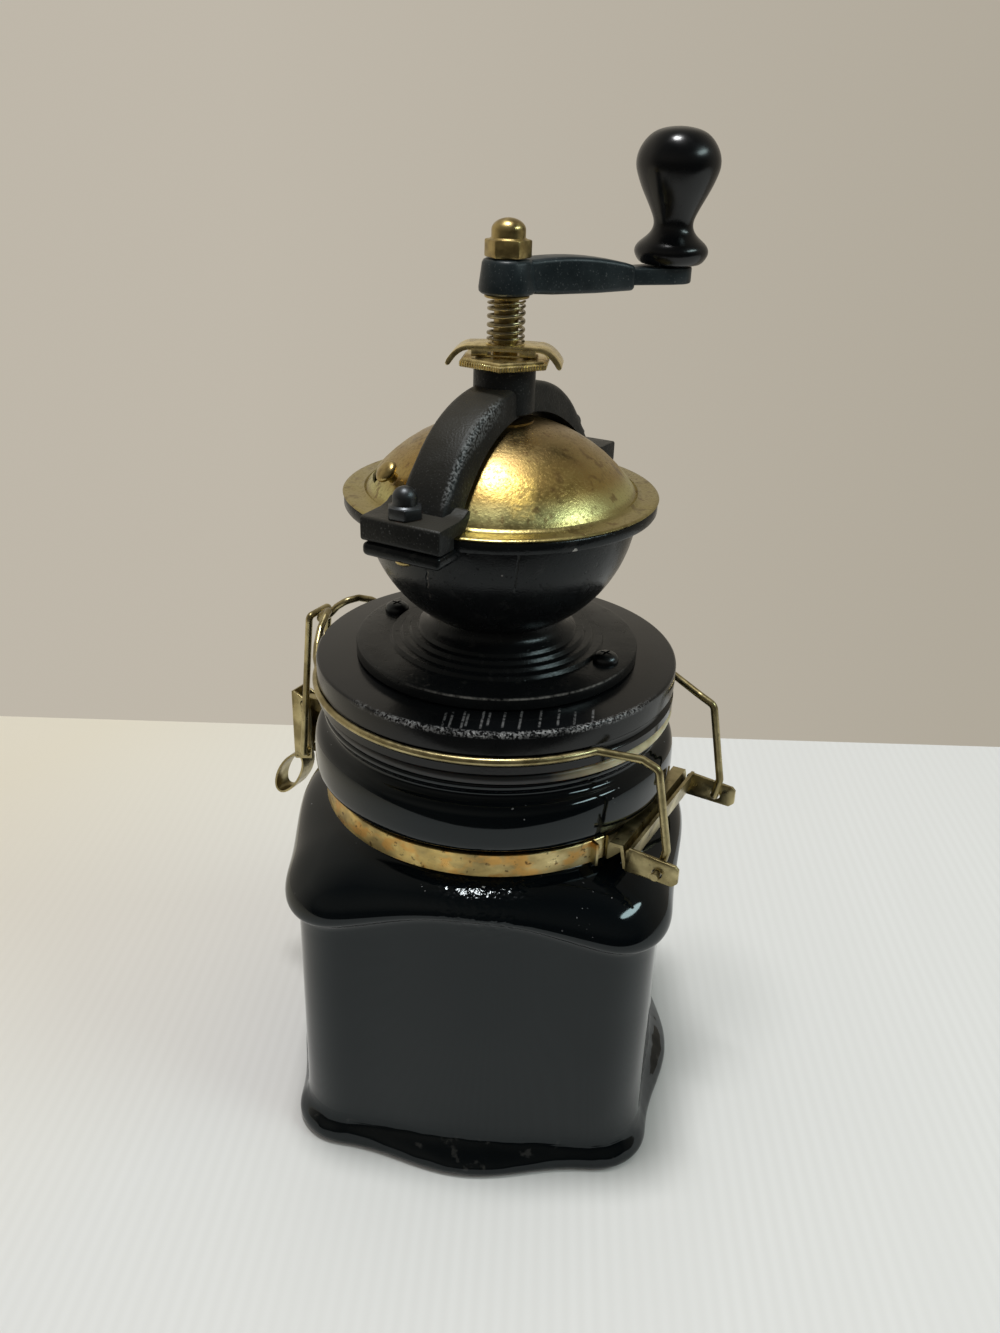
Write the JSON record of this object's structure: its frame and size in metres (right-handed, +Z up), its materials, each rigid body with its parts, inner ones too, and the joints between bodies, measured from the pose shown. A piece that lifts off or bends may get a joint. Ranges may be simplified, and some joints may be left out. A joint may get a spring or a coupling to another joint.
{
  "type": "manual coffee grinder",
  "caption": "Hand coffee mill with a domed cast hopper, crank and conical burrs on the clip-top lid of a glazed canister.",
  "frame": {"origin": "middle of the canister's base, on the table", "axes": "+Z up along the crank's axis, -Y out of the canister's front face, +X to its right"},
  "size_m": [0.1576, 0.1284, 0.296],
  "materials": {
    "glaze": "glossy",
    "lid_lacquer": "black lacquer",
    "cast_iron": "black paint, satin",
    "brass": "tarnished satin",
    "plated_steel": "yellow plating",
    "dark_steel": "blackened",
    "spring_steel": "plated",
    "gasket_rubber": "translucent, matt",
    "burr_steel": "plain",
    "knob_lacquer": "black lacquer, glossy"
  },
  "bodies": {
    "canister": {"jar": "glaze", "neck_band": "plated_steel", "hinge_bracket": "plated_steel", "latch_bracket": "plated_steel", "latch_pin": "plated_steel"},
    "lid_and_mill": {"lid_bail": "plated_steel", "lid": "lid_lacquer", "lid_gasket": "gasket_rubber", "mill_body": "cast_iron", "base_screw_right": "dark_steel", "base_screw_left": "dark_steel", "outer_burr": "burr_steel", "shaft_bush": "brass", "yoke": "cast_iron", "yoke_bolt_front": "brass", "yoke_bolt_back": "brass", "yoke_nut_front": "dark_steel", "yoke_nut_back": "dark_steel", "dome_cover": "brass"},
    "rotor": {"drive_shaft": "brass", "inner_burr": "burr_steel", "burr_nut": "dark_steel", "nut_clip": "brass", "crank_spring": "spring_steel", "crank_washer": "brass", "crank_arm": "cast_iron", "crank_nut": "brass", "knob_pin": "dark_steel"},
    "adjuster": {"adjusting_nut": "brass"},
    "crank_knob": {"knob": "knob_lacquer"},
    "dome_door": {"hopper_door": "brass", "door_knob": "brass"},
    "lever": {"latch_lever": "plated_steel"},
    "link": {"latch_link": "plated_steel"}
  },
  "joints": [
    {"name": "lid_hinge", "type": "hinge", "parent": "canister", "child": "lid_and_mill", "pos_m": [0.06057, -0.02571, 0.1087], "axis": [0.3907, 0.9205, 0], "range_deg": [0, 95]},
    {"name": "crank_turn", "type": "hinge", "parent": "lid_and_mill", "child": "rotor", "pos_m": [0, 0, 0.25], "axis": [0, 0, 1], "continuous": true},
    {"name": "grind_adjust", "type": "hinge", "parent": "rotor", "child": "adjuster", "pos_m": [0, 0, 0.238], "axis": [0, 0, 1], "range_deg": [0, 360]},
    {"name": "knob_spin", "type": "hinge", "parent": "rotor", "child": "crank_knob", "pos_m": [0.04284, 0.02729, 0.27], "axis": [0, 0, 1], "continuous": true},
    {"name": "door_turn", "type": "hinge", "parent": "lid_and_mill", "child": "dome_door", "pos_m": [0, 0, 0.215], "axis": [0, 0, -1], "range_deg": [0, 80]},
    {"name": "latch_turn", "type": "hinge", "parent": "canister", "child": "lever", "pos_m": [-0.06683, 0.02837, 0.1139], "axis": [0.3907, 0.9205, 0], "range_deg": [0, 110]},
    {"name": "link_turn", "type": "hinge", "parent": "lever", "child": "link", "pos_m": [-0.06637, 0.02817, 0.0954], "axis": [0.3907, 0.9205, 0], "range_deg": [-140, 0]}
  ],
  "couplings": [
    {"joint": "link_turn", "follows": "latch_turn", "ratio": -1.25}
  ]
}
